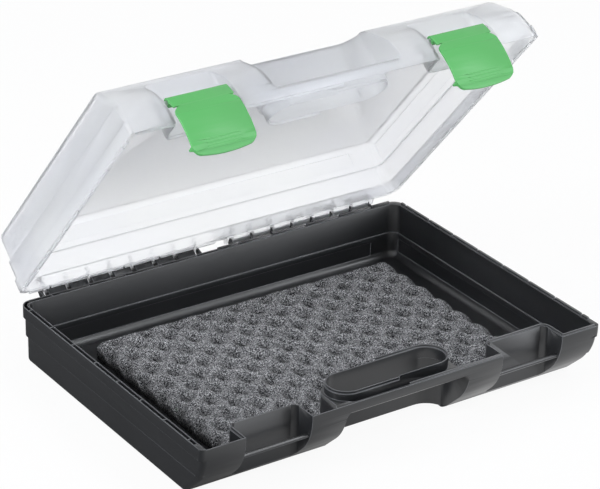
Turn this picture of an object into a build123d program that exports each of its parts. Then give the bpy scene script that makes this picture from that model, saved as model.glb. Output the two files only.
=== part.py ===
from build123d import *
from math import asin, ceil, cos, degrees, hypot, radians, sin, sqrt, tan
import os

# Assortment case made of two identical mouldings. One is the base; the other, turned over
# about the front-to-back axis, is the lid, so the hinge line lies in the parting plane.
# All sizes are in millimetres. The origin is the middle of the base's flat underside,
# +X to the right, +Y to the rear, +Z up.

# Overall size of one half
case_width = 440.0
case_depth = 325.0
half_height = 60.0
wall = 2.2
parting_gap = 0.3

# Stepped side and rear walls: each band stands proud of the one below it
band_step = 2.0
low_band_height = 28.5
lip_height = 12.0
low_wall = 2.6
rim_width = 5.4
rear_corner_radius = 12.0
room_corner_radius = 10.0
edge_radius = 4.5
floor_fillet = 7.5

# Rolled front: upright lip, curve, sloping foot
front_lip = 4.0
front_radius = 52.0
front_turn = 47.0
foot_radius = 10.0

# Shallow recessed band along the inside of the walls
panel_depth = 0.5
panel_bottom = 7.7
panel_top = 22.4
panel_end_gap = 29.4
panel_front = 89.0
panel_rear_gap = 14.0

# Clasp recesses in the front, each crossed by a round rod
recess_inset = 80.05
recess_width = 69.3
recess_depth = 27.0
recess_corner = 6.0
recess_foot = 9.0
rod_radius = 2.2
rod_setback = 7.75
rod_height = 37.0

# Hand hole, grip and the finger space under the grip
hand_hole_length = 125.4
hand_hole_width = 35.0
grip_width = 19.0
grip_front_height = 51.5
grip_dip_height = 46.0
finger_ceiling = 48.5
finger_half_width = 68.0
finger_corner = 22.0
finger_top_corner = 8.0

# Rim joint: slot on the left half, tongue on the right half, half-lap on the thin front rims
slot_width = 3.0
slot_depth = 10.0
slot_rib = 1.2
slot_rib_pitch = 40.3
slot_rib_first = 24.0
slot_front = 14.0
tongue_height = 2.2
tongue_clearance = 0.3
notch_clearance = 0.6
lap_width = 1.0
lap_clearance = 0.15

# Hinge: ribs carry a rod on the right half, hooks on the left half hold the other half's rod
hinge_setback = 8.0
hinge_rod_radius = 2.3
hinge_hook_wall = 2.2
hinge_hook_flats = 12
hinge_clearance = 0.05
hinge_first_rib = 20.5
hinge_end_inset = 31.5
hinge_rib_count = 8
hinge_rib_thickness = 2.2
hinge_rib_nose = 1.2
hinge_hook_width = 10.0
hinge_mouth = 3.6
hinge_mouth_angle = 45.0
hinge_end_play = 1.4
web_embed = 1.0
lid_open_angle = 49.06

# Clasps: a bowed plate that turns on the lid's rod and hooks under the base's rod
clasp_width = 64.6
clasp_neck_width = 61.0
clasp_neck_height = 9.0
clasp_thickness = 2.3
clasp_bow_radius = 78.0
clasp_lean = 22.6
clasp_length = 60.0
clasp_corner = 9.0
clasp_end_crown = 3.5
barrel_wall = 2.25
barrel_clearance = 0.05
barrel_mouth = 3.2
hook_clearance = 0.4
hook_height = 3.0
hook_reach = 3.05
hook_slope = 3.5
ridge_radius = 0.9
ridge_count = 3
ridge_step_angle = 2.2
ridge_length = 34.0
ridge_end_gap = 8.0
clasp_rest_turn = 5.0

# Convoluted foam mat lying loose on the base's floor, a little to the right
foam_left_gap = 61.0
foam_right_gap = 39.0
foam_front_gap = 42.0
foam_rear_gap = 41.0
foam_boss_gap = 3.0
foam_sheet = 6.0
bump_pitch_x = 33.5
bump_pitch_y = 31.4
bump_x = -6.4
bump_y = 6.7
bump_height = 10.5
groove_half_width = 7.0

# Places worked out from the sizes above
front = -case_depth / 2
rear = case_depth / 2
half_width = case_width / 2
rim_height = half_height - parting_gap / 2
curve_top = half_height - front_lip
lip_bottom = half_height - lip_height
room_low_half = half_width - 2 * band_step - low_wall
room_low_rear = rear - 2 * band_step - low_wall
room_high_half = half_width - rim_width
room_high_rear = rear - rim_width
seal_inset = rim_width / 2
seal_half = half_width - seal_inset
seal_rear = rear - seal_inset
recess_offset = half_width - recess_inset
rod_y = front + rod_setback
hand_hole_y = front + grip_width + hand_hole_width / 2
hand_hole_rear = front + grip_width + hand_hole_width
hinge_y = rear + hinge_setback
hinge_last_rib = half_width - hinge_end_inset
hinge_pitch = (hinge_last_rib - hinge_first_rib) / (hinge_rib_count - 1)
# Tools for cuts run past the faces that they cut by this much
overcut = 2.0


def rolled_block(inset, block_half, rear_face, foot, rear_radius):
    """Full-height block with the rolled front, set in by inset at the front and below."""
    inner_radius = front_radius - inset
    slope_drop = curve_top - inner_radius * sin(radians(front_turn)) - inset
    with BuildPart() as block:
        with BuildSketch(Plane.YZ) as outline:
            with BuildLine():
                curve = CenterArc((front + front_radius, curve_top), inner_radius, 180, front_turn)
                heel = (curve @ 1).X + slope_drop * tan(radians(front_turn))
                top = half_height + inset
                Polyline(curve @ 1, (heel, inset), (rear_face, inset), (rear_face, top),
                         (front + inset, top), curve @ 0)
            make_face()
            if foot > 0:
                fillet(outline.vertices().group_by(Axis.Y)[0].sort_by(Axis.X)[0], foot)
        extrude(amount=block_half, both=True)
        fillet(block.edges().filter_by(Axis.Z).group_by(Axis.Y)[-1], rear_radius)
    return block.part


def outer_band(step_in, bottom, top):
    """One band of the outer form, with the rounded edge that runs round its foot and front."""
    with BuildPart() as band:
        add(rolled_block(0, half_width - step_in, rear - step_in, foot_radius,
                         rear_corner_radius - step_in))
        fillet(band.edges().group_by(Axis.Z)[0].filter_by(Axis.Y).sort_by(Axis.X)[0], edge_radius)
        with BuildSketch(Plane.XY.offset(bottom)):
            Rectangle(2 * case_width, 2 * case_depth)
        extrude(amount=top - bottom, mode=Mode.INTERSECT)
    return band.part


def clasp_recess(grow):
    """Recess in the front that a clasp lies in, grown by the wall for the inside of the case."""
    back = front + recess_depth + grow
    heel = front + recess_depth + recess_foot
    with BuildPart() as recess:
        with BuildSketch(Plane.YZ):
            with BuildLine():
                arc = CenterArc((heel, recess_foot), recess_foot - grow, 180, 90)
                Polyline(arc @ 1, (heel, -half_height), (front - overcut, -half_height),
                         (front - overcut, half_height + wall + overcut),
                         (back, half_height + wall + overcut), arc @ 0)
            make_face()
        extrude(amount=recess_width / 2 + grow, both=True)
        back_corners = recess.edges().filter_by(Axis.Z).group_by(Axis.Y)[1]
        fillet(back_corners, recess_corner + grow)
    return recess.part


def finger_space(grow):
    """Space for the fingers under the grip: open to the front, with a waved ceiling."""
    space_rear = hand_hole_rear + grow
    with BuildPart() as space:
        with BuildSketch(Plane.XY.offset(-overcut)) as plan:
            with Locations((0, (front - overcut + space_rear) / 2)):
                Rectangle(2 * (finger_half_width + grow), space_rear - front + overcut)
            fillet(plan.vertices().group_by(Axis.Y)[-1], finger_corner + grow)
        extrude(amount=half_height)
        with BuildSketch(Plane.YZ):
            with BuildLine():
                wave = ThreePointArc((front, grip_front_height + grow),
                                     (front + grip_width / 2, grip_dip_height + grow),
                                     (front + grip_width, finger_ceiling + grow))
                Polyline(wave @ 1, (0, finger_ceiling + grow), (0, -overcut),
                         (front - overcut, -overcut),
                         (front - overcut, grip_front_height + grow), wave @ 0)
            make_face()
        extrude(amount=half_width, both=True, mode=Mode.INTERSECT)
        with BuildSketch(Plane.XZ) as view:
            with Locations((0, (grip_front_height + grow - overcut) / 2)):
                Rectangle(2 * (finger_half_width + grow), grip_front_height + grow + overcut)
            fillet(view.vertices().group_by(Axis.Z)[-1], finger_top_corner + grow)
        extrude(amount=case_depth, both=True, mode=Mode.INTERSECT)
    return space.part


def hand_hole(grow):
    """Upright oval hole behind the grip."""
    with BuildPart() as hole:
        with BuildSketch(Plane.XY.offset(grip_dip_height - overcut)):
            with Locations((0, hand_hole_y)):
                SlotOverall(hand_hole_length + 2 * grow, hand_hole_width + 2 * grow)
        extrude(amount=half_height)
    return hole.part


def rim_plan(inset):
    """Plan of the case at the rim, set in all round."""
    with BuildSketch() as plan:
        Rectangle(case_width - 2 * inset, case_depth - 2 * inset)
        fillet(plan.vertices().group_by(Axis.Y)[-1], rear_corner_radius - inset)
    return plan.sketch


def seal_band(side, width, end_gap, rib_width):
    """Band along the seal line of one side (-1 left, +1 right), interrupted at every rib,
    and short of the front and of the middle of the rear by end_gap."""
    side_ribs = int((case_depth - rear_corner_radius - slot_rib_first) // slot_rib_pitch) + 1
    rear_ribs = int((half_width - rear_corner_radius - slot_rib_first) // slot_rib_pitch) + 1
    rib_ys = [front + slot_rib_first + i * slot_rib_pitch for i in range(side_ribs)]
    rib_xs = [side * (slot_rib_first + i * slot_rib_pitch) for i in range(rear_ribs)]
    with BuildSketch(Plane.XY.offset(rim_height)) as band:
        add(rim_plan(seal_inset - width / 2))
        add(rim_plan(seal_inset + width / 2), mode=Mode.SUBTRACT)
        inner_end = Align.MIN if side > 0 else Align.MAX
        with Locations((side * end_gap, front + slot_front + end_gap)):
            Rectangle(half_width, case_depth, align=(inner_end, Align.MIN), mode=Mode.INTERSECT)
        with Locations(*[(side * seal_half, y) for y in rib_ys]):
            Rectangle(rim_width, rib_width, mode=Mode.SUBTRACT)
        with Locations(*[(x, seal_rear) for x in rib_xs]):
            Rectangle(rib_width, rim_width, mode=Mode.SUBTRACT)
    return band.sketch


def lap_band(side, width, end_gap):
    """Inner strip of the thin front rims on one side (-1 left, +1 right)."""
    zone_rear = hand_hole_rear + 2 * wall
    with BuildSketch(Plane.XY.offset(rim_height)) as band:
        offset(mouth_plan, amount=width, kind=Kind.INTERSECTION)
        add(mouth_plan, mode=Mode.SUBTRACT)
        with Locations((side * room_high_half / 2, (front + zone_rear) / 2)):
            Rectangle(room_high_half - 2 * end_gap, zone_rear - front, mode=Mode.INTERSECT)
    return band.sketch


def hinge_web(radius, places, thickness, flats=0):
    """Webs from the rear lip out to an end on the hinge line that is round or has flats."""
    with BuildPart() as webs:
        with BuildSketch(*[Plane.YZ.offset(x) for x in places]):
            with Locations((hinge_y, half_height)):
                if flats > 0:
                    RegularPolygon(radius, flats, major_radius=False, rotation=180 / flats)
                else:
                    Circle(radius)
            with BuildLine():
                Line((rear, lip_bottom), (rear, rim_height))
            make_hull()
            with Locations((rear, lip_bottom)):
                Rectangle(web_embed, rim_height - lip_bottom, align=(Align.MAX, Align.MIN))
        extrude(amount=thickness / 2, both=True)
    return webs.part


# Upper part of the inside, wider than the part below the step in the wall
with BuildPart() as upper_room:
    add(rolled_block(wall, room_high_half, room_high_rear, 0, room_corner_radius))
    with BuildSketch(Plane.XY.offset(low_band_height)):
        Rectangle(2 * case_width, 2 * case_depth)
    extrude(amount=half_height, mode=Mode.INTERSECT)

# Inside of one half: low part, upper part and wall bands, less the recesses and the grip
with BuildPart() as room:
    add(rolled_block(wall, room_low_half, room_low_rear, 0, room_corner_radius))
    fillet(room.edges().group_by(Axis.Z)[0].filter_by(Axis.Y).sort_by(Axis.X)[0], floor_fillet)
    with BuildSketch(Plane.XY.offset(panel_bottom)):
        with Locations((0, room_low_rear / 2)):
            Rectangle(2 * (room_low_half - panel_end_gap), room_low_rear + 2 * panel_depth)
        with Locations((0, (panel_front - panel_rear_gap) / 2)):
            Rectangle(2 * (room_low_half + panel_depth), case_depth - panel_front - panel_rear_gap)
    extrude(amount=panel_top - panel_bottom)
    add(upper_room.part)
    with Locations((-recess_offset, 0), (recess_offset, 0)):
        add(clasp_recess(wall), mode=Mode.SUBTRACT)
    add(finger_space(wall), mode=Mode.SUBTRACT)
    add(hand_hole(wall), mode=Mode.SUBTRACT)
mouth = room.faces().sort_by(Axis.Z)[-1]
mouth_plan = mouth.moved(Location((0, 0, -mouth.center().Z)))

# One moulding, in the place that it has as the base
with BuildPart() as moulding:
    add(outer_band(2 * band_step, 0, low_band_height))
    add(outer_band(band_step, low_band_height, lip_bottom))
    add(outer_band(0, lip_bottom, rim_height))
    add(room.part, mode=Mode.SUBTRACT)
    with Locations((-recess_offset, 0), (recess_offset, 0)):
        add(clasp_recess(0), mode=Mode.SUBTRACT)
    add(finger_space(0), mode=Mode.SUBTRACT)
    add(hand_hole(0), mode=Mode.SUBTRACT)

    # Slot and half-lap in the left rim, tongues on the right rim
    add(seal_band(-1, slot_width, 0, slot_rib))
    extrude(amount=-slot_depth, mode=Mode.SUBTRACT)
    add(lap_band(-1, lap_width + lap_clearance, 0))
    extrude(amount=-(tongue_height + tongue_clearance), mode=Mode.SUBTRACT)
    with BuildSketch(Plane.XY.offset(rim_height)) as tongue:
        add(seal_band(1, slot_width - 2 * tongue_clearance, 2 * tongue_clearance,
                      slot_rib + 2 * notch_clearance))
        with Locations((half_width, rear)):
            Rectangle(2 * rear_corner_radius, 2 * rear_corner_radius, mode=Mode.SUBTRACT)
    extrude(amount=tongue_height)
    add(lap_band(1, lap_width, 2 * tongue_clearance))
    extrude(amount=tongue_height)

    # Rods across the clasp recesses
    with BuildSketch(*[Plane.YZ.offset(x) for x in (-recess_offset, recess_offset)]):
        with Locations((rod_y, rod_height)):
            Circle(rod_radius)
    extrude(amount=(recess_width + wall) / 2, both=True)

    # Hinge: ribs and rod on the right, hooks and end lugs on the left
    rib_xs = [hinge_first_rib + i * hinge_pitch for i in range(hinge_rib_count)]
    hook_xs = [-(x + hinge_pitch / 2) for x in rib_xs[:-1]]
    lug_step = hinge_rib_thickness + hinge_end_play
    lug_xs = [-(hinge_first_rib - lug_step), -(hinge_last_rib + lug_step)]
    add(hinge_web(hinge_rib_nose, rib_xs, hinge_rib_thickness))
    add(hinge_web(hinge_rod_radius, lug_xs, hinge_rib_thickness))
    with BuildSketch(Plane.YZ.offset(hinge_first_rib - hinge_rib_thickness / 2)):
        with Locations((hinge_y, half_height)):
            Circle(hinge_rod_radius)
    extrude(amount=hinge_last_rib - hinge_first_rib + hinge_rib_thickness)
    hook_bore = hinge_rod_radius + hinge_clearance
    add(hinge_web(hook_bore + hinge_hook_wall, hook_xs, hinge_hook_width, hinge_hook_flats))
    with BuildSketch(Plane.YZ.offset(hook_xs[-1] - hinge_pitch / 2)):
        with Locations(Location((hinge_y, half_height), hinge_mouth_angle)):
            Circle(hook_bore)
            Rectangle(2 * hook_bore + hinge_hook_wall, hinge_mouth, align=(Align.MIN, Align.CENTER))
    extrude(amount=hook_xs[0] - hook_xs[-1] + hinge_pitch, mode=Mode.SUBTRACT)

# Places of the lid and its clasps
turned_over = Location((0, 0, 2 * half_height), (0, 180, 0))
hinge_line = Location((0, hinge_y, half_height))
lid_place = hinge_line * Location((0, 0, 0), (-lid_open_angle, 0, 0)) * hinge_line.inverse() * turned_over
rod_line = Location((0, rod_y, rod_height))
clasp_turn = rod_line * Location((0, 0, 0), (clasp_rest_turn, 0, 0)) * rod_line.inverse()

with BuildPart() as base_tray:
    add(moulding.part)

with BuildPart() as lid:
    with Locations(lid_place):
        add(moulding.part)

# Clasp, latched, in the lid's own place: bowed plate, barrel, hook and finger ridges
barrel_bore = rod_radius + barrel_clearance
barrel_radius = barrel_bore + barrel_wall
bow_inner = clasp_bow_radius - clasp_thickness
bow_arm = clasp_bow_radius - barrel_radius
bow_y = rod_y + bow_arm * cos(radians(clasp_lean))
bow_z = rod_height + bow_arm * sin(radians(clasp_lean))
clasp_end = rod_height + clasp_length
tip_angle = degrees(asin((clasp_end - bow_z) / clasp_bow_radius))
bow_end_angle = degrees(asin((clasp_end + overcut - bow_z) / clasp_bow_radius))
bow_turn = -clasp_lean - bow_end_angle
hook_top = 2 * half_height - rod_height + rod_radius + hook_clearance
hook_tip = rod_y + hook_reach - rod_radius
with BuildPart() as clasp:
    with BuildSketch(Plane.YZ) as bow:
        with BuildLine():
            outer = CenterArc((bow_y, bow_z), clasp_bow_radius, 180 + clasp_lean, bow_turn)
            inner = CenterArc((bow_y, bow_z), bow_inner, 180 + clasp_lean, bow_turn)
            Line(outer @ 0, inner @ 0)
            Line(outer @ 1, inner @ 1)
        make_face()
    extrude(amount=clasp_width / 2, both=True)
    with BuildSketch(Plane.YZ):
        root = bow_y - sqrt(bow_inner ** 2 - (hook_top - bow_z) ** 2)
        with BuildLine():
            Polyline((root - clasp_thickness / 2, hook_top), (hook_tip, hook_top),
                     (hook_tip, hook_top + hook_height / 2),
                     (root - clasp_thickness / 2, hook_top + hook_height + hook_slope), close=True)
        make_face()
    extrude(amount=clasp_width / 2, both=True)
    with BuildSketch(Plane.XZ.offset(-rod_y)) as face_outline:
        with BuildLine():
            crown = ThreePointArc((-clasp_width / 2, clasp_end - clasp_end_crown), (0, clasp_end),
                                  (clasp_width / 2, clasp_end - clasp_end_crown))
            Polyline(crown @ 1, (clasp_width / 2, rod_height + clasp_neck_height),
                     (-clasp_width / 2, rod_height + clasp_neck_height), crown @ 0)
        make_face()
        fillet(face_outline.vertices().group_by(Axis.Z)[-1], clasp_corner)
        with Locations((0, rod_height)):
            Rectangle(clasp_neck_width, 2 * clasp_neck_height)
    extrude(amount=case_depth / 2, both=True, mode=Mode.INTERSECT)
    with BuildSketch(Plane.YZ):
        with Locations((rod_y, rod_height)):
            Circle(barrel_radius)
    extrude(amount=clasp_neck_width / 2, both=True)
    with BuildSketch(Plane.YZ):
        with Locations((rod_y, rod_height)):
            Circle(barrel_bore)
            Rectangle(2 * barrel_radius, barrel_mouth, align=(Align.MIN, Align.CENTER))
    extrude(amount=clasp_width / 2, both=True, mode=Mode.SUBTRACT)
    first_ridge = 180 - tip_angle + degrees(ridge_end_gap / clasp_bow_radius)
    with BuildSketch(Plane.YZ):
        with Locations((bow_y, bow_z)):
            with PolarLocations(clasp_bow_radius - ridge_radius / 2, ridge_count, first_ridge,
                                ridge_count * ridge_step_angle):
                Circle(ridge_radius)
    extrude(amount=ridge_length / 2, both=True)

with BuildPart() as left_clasp:
    with Locations(lid_place * Location((recess_offset, 0, 0)) * clasp_turn):
        add(clasp.part)

with BuildPart() as right_clasp:
    with Locations(lid_place * Location((-recess_offset, 0, 0)) * clasp_turn):
        add(clasp.part)

# Foam mat, notched round the finger space: two crossing sets of slanting grooves leave the
# staggered bumps
foam_front = front + foam_front_gap
foam_rear = rear - foam_rear_gap
foam_length = foam_rear - foam_front
foam_width = case_width - foam_left_gap - foam_right_gap
foam_x = (foam_left_gap - foam_right_gap) / 2
bump_foot = wall + foam_sheet
bump_top = bump_foot + bump_height
groove_pitch = bump_pitch_x * bump_pitch_y / hypot(bump_pitch_x, bump_pitch_y)
groove_count = 2 * ceil(hypot(foam_width / 2 + foam_x, foam_length / 2) / groove_pitch)
notch_half = finger_half_width + wall + foam_boss_gap
notch_rear = hand_hole_rear + wall + foam_boss_gap
with BuildPart() as foam_mat:
    with BuildSketch(Plane.XY.offset(wall)):
        with Locations((foam_x, (foam_front + foam_rear) / 2)):
            Rectangle(foam_width, foam_length)
        with Locations((0, (foam_front + notch_rear) / 2)):
            Rectangle(2 * notch_half, notch_rear - foam_front, mode=Mode.SUBTRACT)
    extrude(amount=bump_top - wall)
    for slant in (-1, 1):
        along = (slant * bump_pitch_x, -bump_pitch_y, 0)
        sideways = (bump_pitch_y, slant * bump_pitch_x, 0)
        across = Plane((bump_x, bump_y, 0), x_dir=sideways, z_dir=along)
        with BuildSketch(across):
            with GridLocations(groove_pitch, groove_pitch, groove_count, 1):
                Polygon((0, bump_foot), (groove_half_width, bump_top),
                        (groove_half_width, bump_top + overcut),
                        (-groove_half_width, bump_top + overcut),
                        (-groove_half_width, bump_top), align=None)
        extrude(amount=case_width, both=True, mode=Mode.SUBTRACT)

base_tray.part.label = "base_tray"
lid.part.label = "lid"
left_clasp.part.label = "left_clasp"
right_clasp.part.label = "right_clasp"
foam_mat.part.label = "foam_mat"

os.makedirs("parts", exist_ok=True)
export_step(base_tray.part, "parts/base_tray.step")
export_step(lid.part, "parts/lid.step")
export_step(left_clasp.part, "parts/left_clasp.step")
export_step(right_clasp.part, "parts/right_clasp.step")
export_step(foam_mat.part, "parts/foam_mat.step")
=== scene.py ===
# %% [markdown]
# This lesson dresses an assortment case: a black base, a milky lid that stands open on the
# same hinge, two green clasps on the lid, and a grey convoluted foam mat in the base.
# The shapes of the rigid parts come ready from the CAD frame. Blender adds the rounded
# edges, the foam's real surface, the finishes, the light and the camera.
# The CAD box is kept at once, to compare it with the finished model at the end.

# %% Load the frame and keep its box
import math

import bmesh
import bpy
from mathutils import Matrix, Vector, noise


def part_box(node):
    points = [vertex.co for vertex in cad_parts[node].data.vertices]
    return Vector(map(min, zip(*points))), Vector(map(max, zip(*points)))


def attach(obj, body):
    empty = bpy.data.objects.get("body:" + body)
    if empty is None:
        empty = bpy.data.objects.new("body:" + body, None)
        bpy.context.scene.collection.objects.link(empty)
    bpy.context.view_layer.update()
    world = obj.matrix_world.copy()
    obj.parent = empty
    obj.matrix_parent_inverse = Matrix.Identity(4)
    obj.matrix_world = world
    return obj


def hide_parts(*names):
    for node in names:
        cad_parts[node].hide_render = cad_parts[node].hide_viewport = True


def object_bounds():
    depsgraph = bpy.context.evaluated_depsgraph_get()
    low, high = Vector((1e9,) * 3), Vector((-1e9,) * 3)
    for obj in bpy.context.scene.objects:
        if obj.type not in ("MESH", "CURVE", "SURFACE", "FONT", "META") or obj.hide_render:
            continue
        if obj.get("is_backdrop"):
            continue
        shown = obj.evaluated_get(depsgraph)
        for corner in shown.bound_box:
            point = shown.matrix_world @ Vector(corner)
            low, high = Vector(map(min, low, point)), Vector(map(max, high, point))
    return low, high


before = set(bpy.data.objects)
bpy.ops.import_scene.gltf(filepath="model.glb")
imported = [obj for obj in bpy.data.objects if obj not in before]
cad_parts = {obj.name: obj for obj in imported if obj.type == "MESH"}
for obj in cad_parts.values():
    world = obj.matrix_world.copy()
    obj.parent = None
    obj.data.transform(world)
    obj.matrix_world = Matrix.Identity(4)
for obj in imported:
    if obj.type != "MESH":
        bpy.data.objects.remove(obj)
cad_low, cad_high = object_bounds()
MM = 0.001
print("CAD nodes:", sorted(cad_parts))
print("CAD box in mm:", [round(v / MM, 1) for v in (*cad_low, *cad_high)])

# %% [markdown]
# The camera stands where the photographer stood. A long lens far away gives the flat
# perspective of a catalogue picture. The direction is set by an azimuth and an elevation
# about the object, and a small roll tilts the picture. Building the rotation matrix from
# the three camera axes is clearer than chaining Euler angles.

# %% Camera
CAMERA_AZIMUTH = math.radians(-34.54)
CAMERA_ELEVATION = math.radians(25.973)
CAMERA_ROLL = math.radians(1.296)
CAMERA_DISTANCE = 2.74137
CAMERA_TARGET = Vector((0.14604, 0.22855, 0.0))
CAMERA_LENS = 157.98
CAMERA_REACH = 50


def make_camera():
    """Camera at the photograph's angle, aimed at the target point."""
    flat = math.cos(CAMERA_ELEVATION)
    back = Vector((math.sin(CAMERA_AZIMUTH) * flat, -math.cos(CAMERA_AZIMUTH) * flat,
                   math.sin(CAMERA_ELEVATION)))
    level_right = Vector((math.cos(CAMERA_AZIMUTH), math.sin(CAMERA_AZIMUTH), 0))
    level_up = back.cross(level_right)
    right = level_right * math.cos(CAMERA_ROLL) + level_up * math.sin(CAMERA_ROLL)
    up = level_up * math.cos(CAMERA_ROLL) - level_right * math.sin(CAMERA_ROLL)
    lens = bpy.data.cameras.new("photo_camera")
    lens.lens = CAMERA_LENS
    lens.clip_end = CAMERA_REACH
    camera = bpy.data.objects.new("photo_camera", lens)
    bpy.context.scene.collection.objects.link(camera)
    axes = Matrix((right, up, back)).transposed().to_4x4()
    camera.matrix_world = Matrix.Translation(CAMERA_TARGET + back * CAMERA_DISTANCE) @ axes
    bpy.context.scene.camera = camera
    return camera


camera = make_camera()
print("camera at", [round(v, 3) for v in camera.matrix_world.translation])

# %% [markdown]
# Materials are built from nodes in code. Three small helpers keep that readable: one adds
# a node and sets its inputs, one adds a Math node, and one adds a Color Ramp. Positions
# come from Texture Coordinate's Object output, which is in metres here, so that a grain
# keeps its real size on every piece.

# %% Node helpers
def add_node(tree, kind, **inputs):
    """New node with the given input values; a key's underscores stand for spaces."""
    node = tree.nodes.new(kind)
    for key, value in inputs.items():
        node.inputs[key.replace("_", " ")].default_value = value
    return node


def add_math(tree, operation, *values, clamp=False):
    """Output of a new Math node, whose inputs are numbers or other nodes' outputs."""
    node = tree.nodes.new("ShaderNodeMath")
    node.operation = operation
    node.use_clamp = clamp
    for socket, value in zip(node.inputs, values):
        if isinstance(value, bpy.types.NodeSocket):
            tree.links.new(value, socket)
        else:
            socket.default_value = value
    return node.outputs[0]


def add_ramp(tree, first, last, *between):
    """Color Ramp with the given stops, each a position and a colour."""
    ramp = tree.nodes.new("ShaderNodeValToRGB")
    elements = ramp.color_ramp.elements
    for element, (position, colour) in zip(elements, (first, last)):
        element.position = position
        element.color = colour
    for position, colour in between:
        elements.new(position).color = colour
    return ramp


print("node helpers:", [helper.__name__ for helper in (add_node, add_math, add_ramp)])

# %% [markdown]
# Two more helpers make a material with its Principled shader, and turn a colour as it
# looks on a screen into the linear values that a shader wants.

# %% Material helpers
def new_material(name, **values):
    """Material with one Principled shader, whose constant values are set here."""
    material = bpy.data.materials.new(name)
    material.use_nodes = True
    shader = material.node_tree.nodes["Principled BSDF"]
    for key, value in values.items():
        shader.inputs[key.replace("_", " ")].default_value = value
    return material, material.node_tree, shader


def srgb(red, green, blue):
    """A colour given as it looks on a screen, 0 to 255, as linear values with alpha."""
    def linear(part):
        share = part / 255
        return share / 12.92 if share <= 0.04045 else ((share + 0.055) / 1.055) ** 2.4
    return (linear(red), linear(green), linear(blue), 1.0)


print("black plastic as a linear colour:", [round(v, 4) for v in srgb(29, 30, 32)[:3]])

# %% [markdown]
# Moulded polypropylene is never a flat colour. The mould leaves a fine satin grain, and
# the melt leaves faint cloudy bands where it flowed. Base, lid and clasps all share this,
# so it is one node group, placed in each material with its own roughness. It puts out a
# cloud mask for the colour, a roughness that varies a little and a height for the bump.

# %% Node group: moulded grain
GRAIN_INPUTS = {"Grain Size": 0.8 * MM, "Flow Size": 120 * MM, "Roughness": 0.45,
                "Roughness Spread": 0.1}
GRAIN_DETAIL = 2.0
FLOW_DETAIL = 3.0
FLOW_MIDDLE = 0.5


def moulded_grain_group():
    """Group with a cloudy flow mask, a varying roughness and a fine grain height."""
    group = bpy.data.node_groups.new("moulded_grain", "ShaderNodeTree")
    face = group.interface
    for name, value in GRAIN_INPUTS.items():
        face.new_socket(name, in_out="INPUT", socket_type="NodeSocketFloat").default_value = value
    for name in ("Flow", "Roughness", "Height"):
        face.new_socket(name, in_out="OUTPUT", socket_type="NodeSocketFloat")
    source = group.nodes.new("NodeGroupInput")
    result = group.nodes.new("NodeGroupOutput")
    place = group.nodes.new("ShaderNodeTexCoord")

    def noise_of(size_name, detail):
        per_metre = add_math(group, "DIVIDE", 1.0, source.outputs[size_name])
        texture = add_node(group, "ShaderNodeTexNoise", Detail=detail)
        group.links.new(place.outputs["Object"], texture.inputs["Vector"])
        group.links.new(per_metre, texture.inputs["Scale"])
        return texture.outputs["Fac"]

    grain = noise_of("Grain Size", GRAIN_DETAIL)
    flow = noise_of("Flow Size", FLOW_DETAIL)
    centred = add_math(group, "SUBTRACT", flow, FLOW_MIDDLE)
    roughness = add_math(group, "MULTIPLY_ADD", centred, source.outputs["Roughness Spread"],
                         source.outputs["Roughness"])
    group.links.new(flow, result.inputs["Flow"])
    group.links.new(roughness, result.inputs["Roughness"])
    group.links.new(grain, result.inputs["Height"])
    return group


moulded_grain = moulded_grain_group()
print("group", moulded_grain.name, "has", len(moulded_grain.nodes), "nodes")

# %% [markdown]
# The plastics differ in colour, in how rough they are and in how much light they let
# through. A function places the grain group, mixes two near colours by the flow mask and
# feeds the bump. The lid is thin milky polypropylene: part of the light goes through it
# and is blurred, which a rough Transmission Weight gives, and the rest scatters back.
# Each plastic has a second one for its edges. On the black and the green it is lighter and
# smoother, partly as wear from hands and partly as a painted highlight along the edges.
# On the lid it lets a little less light through.

# %% Plastic materials
FLOW_LOW = 0.35
FLOW_HIGH = 0.65
GRAIN_DEPTH = 0.2 * MM


def plastic(name, dark, light, roughness, bump, **constants):
    """Moulded plastic between two near colours, with grain in roughness and bump."""
    material, tree, shader = new_material(name, **constants)
    grain = tree.nodes.new("ShaderNodeGroup")
    grain.node_tree = moulded_grain
    grain.inputs["Roughness"].default_value = roughness
    ramp = add_ramp(tree, (FLOW_LOW, dark), (FLOW_HIGH, light))
    relief = add_node(tree, "ShaderNodeBump", Strength=bump, Distance=GRAIN_DEPTH)
    tree.links.new(grain.outputs["Flow"], ramp.inputs["Fac"])
    tree.links.new(ramp.outputs["Color"], shader.inputs["Base Color"])
    tree.links.new(grain.outputs["Roughness"], shader.inputs["Roughness"])
    tree.links.new(grain.outputs["Height"], relief.inputs["Height"])
    tree.links.new(relief.outputs["Normal"], shader.inputs["Normal"])
    return material


black_plastic = plastic("black_polypropylene", srgb(29, 30, 32), srgb(35, 36, 38),
                        roughness=0.33, bump=0.25, Specular_IOR_Level=0.7)
# The edge colours of the black and the green are lighter than their faces: partly wear, partly a
# painted highlight.
black_worn_highlit_edge = plastic("black_polypropylene_worn_highlit_edge", srgb(88, 89, 92), srgb(108, 109, 112),
                     roughness=0.28, bump=0.1)
milky_plastic = plastic("milky_polypropylene", srgb(251, 252, 255), srgb(253, 254, 255),
                        roughness=0.3, bump=0.1, IOR=1.3, Transmission_Weight=0.88)
milky_edge = plastic("milky_polypropylene_edge", srgb(246, 247, 251), srgb(251, 252, 255),
                     roughness=0.3, bump=0.1, IOR=1.3, Transmission_Weight=0.8)
green_plastic = plastic("green_polypropylene", srgb(82, 170, 89), srgb(89, 175, 96),
                        roughness=0.42, bump=0.15)
green_worn_highlit_edge = plastic("green_polypropylene_worn_highlit_edge", srgb(98, 184, 105), srgb(108, 191, 114),
                     roughness=0.34, bump=0.1)
print("plastics:", [m.name for m in bpy.data.materials if "polypropylene" in m.name])

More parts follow.
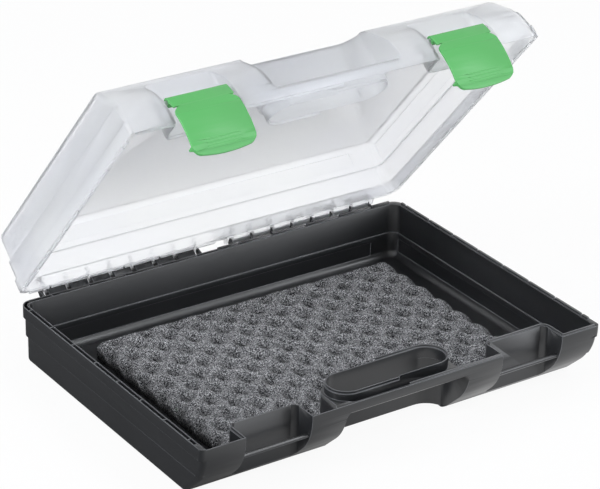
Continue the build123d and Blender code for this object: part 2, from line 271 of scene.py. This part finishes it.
# %% [markdown]
# In the photograph the hinge hooks fill nearly all the room between the ribs. The CAD
# hooks are narrower prisms along X, all of one width, in a row along the hinge's axis.
# So it is enough to find the points of their end faces, near the axis and half a width
# from a hook's middle, and to slide them outwards until a small gap to the ribs is left.
# The hinge's sizes are those of the CAD part, measured from the middle of the case.

# %% Wide hinge hooks
WELD_DISTANCE = 0.01 * MM
HINGE_Y = 170.5 * MM
HINGE_Z = 60.0 * MM
HINGE_REACH = 15.0 * MM
HOOK_FIRST = 32.5 * MM
HOOK_PITCH = 24.0 * MM
HOOK_COUNT = 7
HOOK_HALF = 5.0 * MM
WIDE_HALF = 9.6 * MM


def widen_hooks(form, side):
    """Slide the end faces of every hinge hook on one side outwards."""
    slid = 0
    for vert in form.verts:
        if math.hypot(vert.co.y - HINGE_Y, vert.co.z - HINGE_Z) > HINGE_REACH:
            continue
        for number in range(HOOK_COUNT):
            middle = side * (HOOK_FIRST + number * HOOK_PITCH)
            offset = vert.co.x - middle
            if abs(abs(offset) - HOOK_HALF) < 2 * WELD_DISTANCE:
                vert.co.x = middle + math.copysign(WIDE_HALF, offset)
                slid += 1
                break
    print("points slid on the hooks:", slid)


print("a hook grows from", round(2 * HOOK_HALF / MM, 1), "to", round(2 * WIDE_HALF / MM, 1), "mm")

# %% [markdown]
# A moulded edge is never razor sharp, and its small radius is what catches the light in
# a thin bright line. The CAD nodes come as triangles with sharp edges. A copy of each is
# welded, and a Bevel modifier rounds the edges that carry a weight and gives them the
# edge material, which on the black and the green is lighter, partly as wear and partly as
# a painted highlight. Only edges that turn sharply get a weight, and the very short ones at
# tight corners don't, because there a bevel would be wider than the edge and throw
# spikes. The CAD node itself is never touched.

# %% Rounded edges
EDGE_ANGLE = math.radians(35)
SHORTEST_ROUNDED = 1.0 * MM
ROUNDING_STEPS = 2
FACE_INDEX = 0
EDGE_INDEX = 1


def weigh_edges(form):
    """Shade the form smooth and give a bevel weight to its sharp edges."""
    weight = form.edges.layers.float.new("bevel_weight_edge")
    for edge in form.edges:
        sharp = edge.is_manifold and edge.calc_face_angle() > EDGE_ANGLE
        rounded = sharp and edge.calc_length() > SHORTEST_ROUNDED
        edge[weight] = float(rounded)
        edge.smooth = rounded or not sharp
    for face in form.faces:
        face.smooth = True
        face.material_index = FACE_INDEX


def round_edges(piece, radius):
    """Bevel modifier on the edges that carry a weight."""
    bevel = piece.modifiers.new("edge_radius", "BEVEL")
    bevel.width = radius
    bevel.segments = ROUNDING_STEPS
    bevel.limit_method = "WEIGHT"
    bevel.use_clamp_overlap = False
    bevel.harden_normals = True
    # The edge faces take the second material, on the black and the green a lighter colour that is
    # partly a painted highlight.
    bevel.material = EDGE_INDEX


print("edges sharper than", round(math.degrees(EDGE_ANGLE)), "degrees are rounded")

# %% [markdown]
# Each rigid piece has its own materials and rounding. The clasps are small, so their edges
# take a smaller radius. The last number in a row says on which side of the middle a piece
# has hinge hooks: -1 for the base, 1 for the lid, and 0 for a clasp, which has none.

# %% The four rigid pieces
def rounded_copy(node, body, face_material, edge_material, radius, shortest_edge, hook_side,
                 material_slot):
    """Copy of a CAD node with rounded edges, riding on its body in the node's place."""
    form = bmesh.new()
    form.from_mesh(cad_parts[node].data)
    bmesh.ops.remove_doubles(form, verts=form.verts, dist=WELD_DISTANCE)
    if hook_side:
        widen_hooks(form, hook_side)
    bmesh.ops.dissolve_degenerate(form, dist=shortest_edge, edges=form.edges)
    weigh_edges(form)
    mesh = bpy.data.meshes.new(node + "_rounded")
    form.to_mesh(mesh)
    form.free()
    mesh.materials.append(face_material)
    mesh.materials.append(edge_material)
    piece = bpy.data.objects.new(node + "_rounded", mesh)
    bpy.context.scene.collection.objects.link(piece)
    round_edges(piece, radius)
    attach(piece, body)
    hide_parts(node)
    print(node, "has", len(mesh.polygons), "faces before rounding")
    return piece


CASE_RADIUS = 0.3 * MM
CASE_SHORTEST = 0.25 * MM
CLASP_RADIUS = 0.25 * MM
CLASP_SHORTEST = 0.1 * MM
RIGID_PIECES = (
    ("base_tray", "base", black_plastic, black_worn_highlit_edge, CASE_RADIUS, CASE_SHORTEST, -1,
     "base_plastic"),
    ("lid", "lid", milky_plastic, milky_edge, CASE_RADIUS, CASE_SHORTEST, 1,
     "lid_plastic"),
    ("left_clasp", "left_clasp", green_plastic, green_worn_highlit_edge, CLASP_RADIUS, CLASP_SHORTEST, 0,
     "clasp_plastic"),
    ("right_clasp", "right_clasp", green_plastic, green_worn_highlit_edge, CLASP_RADIUS, CLASP_SHORTEST, 0,
     "clasp_plastic"),
)
rigid = [rounded_copy(*row) for row in RIGID_PIECES]
print("rounded pieces:", [piece.name for piece in rigid])

# %% [markdown]
# The mat is convoluted foam: a machine squeezes a sheet between toothed rollers and cuts
# it, which leaves staggered bumps and pits. Its surface is one height over each place of
# the mat, so a fine grid of points can carry it. The box comes from the CAD solid. A notch
# in the front edge makes room for the walls of the hand hole.

# %% Foam mat: box and grid
foam_low, foam_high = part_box("foam_mat")
FOAM_STEP = 1.5 * MM
NOTCH_HALF_WIDTH = 73.2 * MM
NOTCH_DEPTH = 17.2 * MM
print("foam stands", round((foam_high.z - foam_low.z) / MM, 1), "mm over the floor")

# %% [markdown]
# The pits are bell-shaped holes, longer than they are wide, in rows that are staggered by
# half a pitch. At the rear edge they end in a thin standing rim.

# %% Foam mat: pits
PIT_PITCH = 33.5 * MM
ROW_PITCH = 15.7 * MM
PIT_X = 10.35 * MM
PIT_Y = 6.7 * MM
PIT_WIDTH = 4.4 * MM
PIT_LENGTH = 6.2 * MM
REAR_RIM = 3.5 * MM


def pit_share(x, y):
    """How deep in a pit a place lies: 1 at the bottom of one, 0 far from all."""
    nearest = round((y - PIT_Y) / ROW_PITCH)
    share = 0.0
    for row in (nearest - 1, nearest, nearest + 1):
        start = PIT_X + (row % 2) * PIT_PITCH / 2
        across = (x - start) - PIT_PITCH * round((x - start) / PIT_PITCH)
        along = y - PIT_Y - row * ROW_PITCH
        share = max(share, math.exp(-(across / PIT_WIDTH) ** 2 - (along / PIT_LENGTH) ** 2))
    return share * min(1.0, (foam_high.y - y) / REAR_RIM)


foam_middle = (foam_high + foam_low) / 2
print("share of a pit in the mat's middle:", round(pit_share(foam_middle.x, foam_middle.y), 2))

# %% [markdown]
# Between the pits a product of two cosines gives a soft swell, highest half way between
# them, and the two side edges are squashed down a little. A fine noise stands for the open
# cells, and a slow one for uneven cutting. The slow one is read one metre higher up, which
# only makes it another pattern than the fine one.

# %% Foam mat: height
SWELL = 1.5 * MM
SIDE_FALL = 5.0 * MM
SIDE_WIDTH = 9.0 * MM
PIT_FLOOR = 3.0 * MM
CELL_SIZE = 1.9 * MM
CELL_DEPTH = 0.35 * MM
SAG_SIZE = 60 * MM
SAG_DEPTH = 0.5 * MM
foam_rise = foam_high.z - foam_low.z - PIT_FLOOR - CELL_DEPTH


def foam_height(x, y):
    """Height of the foam's upper face above its underside."""
    across = math.cos(2 * math.pi * (x - PIT_X) / PIT_PITCH)
    along = math.cos(math.pi * (y - PIT_Y) / ROW_PITCH)
    swell = SWELL * (0.5 + 0.5 * across * along)
    inset = min(x - foam_low.x, foam_high.x - x)
    fall = SIDE_FALL * max(0.0, 1 - inset / SIDE_WIDTH) ** 2
    cells = CELL_DEPTH * noise.noise(Vector((x, y, 0)) / CELL_SIZE)
    sag = SAG_DEPTH * noise.noise(Vector((x, y, 1)) / SAG_SIZE)
    top = foam_rise - swell - fall
    return PIT_FLOOR + top * (1 - pit_share(x, y)) + cells + min(sag, 0)


middle_height = foam_height(foam_middle.x, foam_middle.y)
print("height in the mat's middle in mm:", round(middle_height / MM, 1))

# %% [markdown]
# The mat is built as a closed form. A flat grid, one unit wide, is stretched over the box,
# the faces in the notch are taken out, and every point is lifted to its height. Then the
# open border is extruded down to the floor and closed with one flat face. Extruding adds
# its faces in no fixed order, so they are sorted, and each run lists them alike.

# %% Foam mat: mesh
ORDER_STEP = 1_000_000


def foam_grid():
    """Grid over the foam's box without the notch, lifted to the foam's height."""
    form = bmesh.new()
    size = foam_high - foam_low
    bmesh.ops.create_grid(form, x_segments=round(size.x / FOAM_STEP),
                          y_segments=round(size.y / FOAM_STEP), size=0.5)
    for vert in form.verts:
        vert.co.x = foam_middle.x + vert.co.x * size.x
        vert.co.y = foam_middle.y + vert.co.y * size.y
    notch_rear = foam_low.y + NOTCH_DEPTH
    in_notch = [face for face in form.faces
                if abs(face.calc_center_median().x) < NOTCH_HALF_WIDTH
                and face.calc_center_median().y < notch_rear]
    bmesh.ops.delete(form, geom=in_notch, context="FACES")
    for vert in form.verts:
        vert.co.z = foam_low.z + foam_height(vert.co.x, vert.co.y)
    return form


def face_order(face):
    """Number that puts the faces in one order, by the points that they join."""
    numbers = [vert.index for vert in face.verts]
    return min(numbers) * ORDER_STEP + sum(numbers)


def make_foam():
    """Closed foam mat: displaced upper face, cut sides and flat underside."""
    form = foam_grid()
    border = [edge for edge in form.edges if edge.is_boundary]
    skirt = bmesh.ops.extrude_edge_only(form, edges=border)["geom"]
    for vert in (item for item in skirt if isinstance(item, bmesh.types.BMVert)):
        vert.co.z = foam_low.z
    lower_border = [edge for edge in form.edges if edge.is_boundary]
    bmesh.ops.contextual_create(form, geom=lower_border)
    form.verts.index_update()
    form.faces.sort(key=face_order)
    bmesh.ops.recalc_face_normals(form, faces=form.faces)
    for edge in border:
        edge.smooth = False
    for face in form.faces:
        face.smooth = True
    mesh = bpy.data.meshes.new("foam_surface")
    form.to_mesh(mesh)
    form.free()
    piece = bpy.data.objects.new("foam_surface", mesh)
    bpy.context.scene.collection.objects.link(piece)
    return piece


foam = make_foam()
print("foam has", len(foam.data.polygons), "faces")

# %% [markdown]
# The foam is charcoal with pale flecks, which paint the glints of light on the open cell walls.
# A Voronoi texture with one random tone per cell gives sharp flecks, and a noise breaks
# them into groups. The colour also darkens with depth, from a Map Range of the height:
# this is painted shade, deepest in the pits and on the low cut sides.

# %% Foam material
FLECK_SIZE = 0.5 * MM
FLECK_SHARE = 0.88
FLECK_RELIEF = 0.6 * MM
PATCH_SIZE = 5 * MM
PATCH_SHARE = 0.22
PIT_SHADE = 0.35
FOAM_DARK = (0.15, srgb(38, 38, 40))
FOAM_GREY = (0.6, srgb(72, 72, 75))
# The pale stop paints glints of light on the open cell walls.
FOAM_FLECK = (0.95, srgb(224, 224, 225))


def foam_material():
    """Speckled open-cell foam, with painted glints and painted shade in the pits."""
    material, tree, shader = new_material("charcoal_foam", Roughness=0.95, Specular_IOR_Level=0.1)
    place = tree.nodes.new("ShaderNodeTexCoord")
    cells = add_node(tree, "ShaderNodeTexVoronoi", Scale=1 / FLECK_SIZE)
    patches = add_node(tree, "ShaderNodeTexNoise", Scale=1 / PATCH_SIZE, Detail=4.0)
    for texture in (cells, patches):
        tree.links.new(place.outputs["Object"], texture.inputs["Vector"])
    tone = tree.nodes.new("ShaderNodeSeparateColor")
    tree.links.new(cells.outputs["Color"], tone.inputs["Color"])
    patch = add_math(tree, "MULTIPLY", patches.outputs["Fac"], PATCH_SHARE)
    fleck = add_math(tree, "MULTIPLY_ADD", tone.outputs["Red"], FLECK_SHARE, patch, clamp=True)
    ramp = add_ramp(tree, FOAM_DARK, FOAM_FLECK, FOAM_GREY)
    tree.links.new(fleck, ramp.inputs["Fac"])
    # Painted shade: the colour darkens the lower a point lies, down to PIT_SHADE, in the pits and
    # on the cut sides.
    height = tree.nodes.new("ShaderNodeSeparateXYZ")
    depth = add_node(tree, "ShaderNodeMapRange", From_Min=foam_low.z + PIT_FLOOR,
                     From_Max=foam_high.z, To_Min=PIT_SHADE)
    tree.links.new(place.outputs["Object"], height.inputs["Vector"])
    tree.links.new(height.outputs["Z"], depth.inputs["Value"])
    shade = tree.nodes.new("ShaderNodeHueSaturation")
    tree.links.new(depth.outputs["Result"], shade.inputs["Value"])
    tree.links.new(ramp.outputs["Color"], shade.inputs["Color"])
    tree.links.new(shade.outputs["Color"], shader.inputs["Base Color"])
    relief = add_node(tree, "ShaderNodeBump", Strength=0.7, Distance=FLECK_RELIEF)
    tree.links.new(tone.outputs["Red"], relief.inputs["Height"])
    tree.links.new(relief.outputs["Normal"], shader.inputs["Normal"])
    return material


foam.data.materials.append(foam_material())
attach(foam, "base")
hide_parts("foam_mat")
print("foam takes", foam.data.materials[0].name)

# %% [markdown]
# The catalogue picture has a pure white surround. What the camera, a reflection or a
# see-through surface sees of the world glows with a strength of 1, which is white. The
# rays that carry light to the case see a weaker and faintly blue light, like that of a
# white room. The Light Path node tells the two apart.

# %% Surround
WORLD_COLOUR = (0.95, 0.97, 1.0, 1)
WORLD_LIGHT = 0.6
WHITE = (1, 1, 1, 1)


def seen_ray(tree):
    """1 for camera, glossy and transmission rays, 0 for those that carry light."""
    path = tree.nodes.new("ShaderNodeLightPath")
    either = add_math(tree, "MAXIMUM", path.outputs["Is Camera Ray"],
                      path.outputs["Is Glossy Ray"])
    return add_math(tree, "MAXIMUM", either, path.outputs["Is Transmission Ray"])


def make_world():
    """Even surround light, seen as white."""
    world = bpy.data.worlds.new("white_surround")
    bpy.context.scene.world = world
    world.use_nodes = True
    tree = world.node_tree
    tree.nodes.clear()
    lit = add_node(tree, "ShaderNodeBackground", Color=WORLD_COLOUR, Strength=WORLD_LIGHT)
    seen = add_node(tree, "ShaderNodeBackground", Color=WHITE, Strength=1.0)
    mix = tree.nodes.new("ShaderNodeMixShader")
    output = tree.nodes.new("ShaderNodeOutputWorld")
    tree.links.new(seen_ray(tree), mix.inputs["Fac"])
    tree.links.new(lit.outputs["Background"], mix.inputs[1])
    tree.links.new(seen.outputs["Background"], mix.inputs[2])
    tree.links.new(mix.outputs["Shader"], output.inputs["Surface"])
    return world


world = make_world()
print(world.name, "lights the case with a strength of", WORLD_LIGHT)

# %% [markdown]
# The floor is a plain pale plane. Most of its colour, for the rays that see it, is the
# plain glow, and the rest is still a lit surface, so that the case keeps its soft shadow.
# For a reflection the glow is dim at the back left and full in front, because the shaded
# side of the studio is what keeps the left wall dark in the photograph.

# %% Floor
FLOOR_SIZE = 24.0
FLOOR_TONE = (0.86, 0.86, 0.86, 1)
WHITE_SHARE = 0.93
TO_BRIGHT_SIDE = (0.6, -0.8, 0)
DIM_SIDE = 0.1
DIM_PLACE = -0.05
BRIGHT_PLACE = 0.2


def floor_colour(tree):
    """White, but for a reflection dim at the back left."""
    place = tree.nodes.new("ShaderNodeTexCoord")
    path = tree.nodes.new("ShaderNodeLightPath")
    mirrored = add_math(tree, "SUBTRACT", path.outputs["Is Glossy Ray"],
                        path.outputs["Is Transmission Ray"], clamp=True)
    along = tree.nodes.new("ShaderNodeVectorMath")
    along.operation = "DOT_PRODUCT"
    along.inputs[1].default_value = TO_BRIGHT_SIDE
    fade = add_node(tree, "ShaderNodeMapRange", From_Min=DIM_PLACE, From_Max=BRIGHT_PLACE,
                    To_Min=DIM_SIDE)
    fade.interpolation_type = "SMOOTHSTEP"
    colour = tree.nodes.new("ShaderNodeMix")
    colour.data_type = "RGBA"
    colour.inputs["A"].default_value = WHITE
    tree.links.new(place.outputs["Object"], along.inputs[0])
    tree.links.new(along.outputs["Value"], fade.inputs["Value"])
    tree.links.new(mirrored, colour.inputs["Factor"])
    tree.links.new(fade.outputs["Result"], colour.inputs["B"])
    return colour.outputs["Result"]


def make_floor():
    """Pale floor that looks white but keeps a soft shadow."""
    bpy.ops.mesh.primitive_plane_add(size=FLOOR_SIZE, location=(0, 0, 0))
    floor = bpy.context.object
    floor.name = "floor"
    material, tree, shader = new_material("pale_floor", Base_Color=FLOOR_TONE, Roughness=0.8)
    glow = add_node(tree, "ShaderNodeEmission", Strength=1.0)
    mix = tree.nodes.new("ShaderNodeMixShader")
    share = add_math(tree, "MULTIPLY", seen_ray(tree), WHITE_SHARE)
    tree.links.new(floor_colour(tree), glow.inputs["Color"])
    tree.links.new(share, mix.inputs["Fac"])
    tree.links.new(shader.outputs["BSDF"], mix.inputs[1])
    tree.links.new(glow.outputs["Emission"], mix.inputs[2])
    tree.links.new(mix.outputs["Shader"], tree.nodes["Material Output"].inputs["Surface"])
    floor.data.materials.append(material)
    floor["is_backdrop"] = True
    return floor


floor = make_floor()
print(floor.name, "is", FLOOR_SIZE, "m across")

# %% [markdown]
# Three soft lamps do the rest. The key lamp stands low on the right in front: it lifts the
# front faces, which are the lightest part of the base in the photograph, and leaves the
# left side of the foam and one wall of each pit dark. A smaller one higher up draws the
# thin bright lines on the edges, and a third one on the left lights the lid's outer side.
# All three are slightly blue, like the daylight tubes of a studio. In a row stand a lamp's
# name, its place, the point that it aims at, its side in metres and its power in watts.

# %% Lamps
LAMP_COLOUR = (0.92, 0.95, 1.0)
LAMPS = (
    ("key_lamp", (1.4, -2.1, 0.5), (0, 0, 0.05), 1.3, 21),
    ("edge_lamp", (1.2, -1.4, 2.1), (0, 0, 0.1), 0.8, 18),
    ("side_lamp", (-2.0, 0.2, 1.3), (0, 0, 0.25), 1.2, 34),
)


def soft_lamp(name, place, aim, size, power):
    """Square area lamp at a place, turned to a point."""
    light = bpy.data.lights.new(name, "AREA")
    light.shape = "SQUARE"
    light.size = size
    light.energy = power
    light.color = LAMP_COLOUR
    lamp = bpy.data.objects.new(name, light)
    bpy.context.scene.collection.objects.link(lamp)
    lamp.location = place
    lamp.rotation_mode = "QUATERNION"
    lamp.rotation_quaternion = (Vector(aim) - Vector(place)).to_track_quat("-Z", "Y")
    return lamp


lamps = [soft_lamp(*row) for row in LAMPS]
bpy.context.scene.view_settings.view_transform = "Standard"
print("lamps:", [lamp.name for lamp in lamps])

# %% [markdown]
# The last step prints how far each side of the finished model's box lies from the same
# side of the CAD box, in mm, so that the two can be compared, and hands the scene over.

# %% Size and finish
seen_low, seen_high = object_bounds()
growth = [round((b - a) / MM, 2) for a, b in zip((*cad_low, *cad_high), (*seen_low, *seen_high))]
print("visual box against CAD box in mm:", growth)
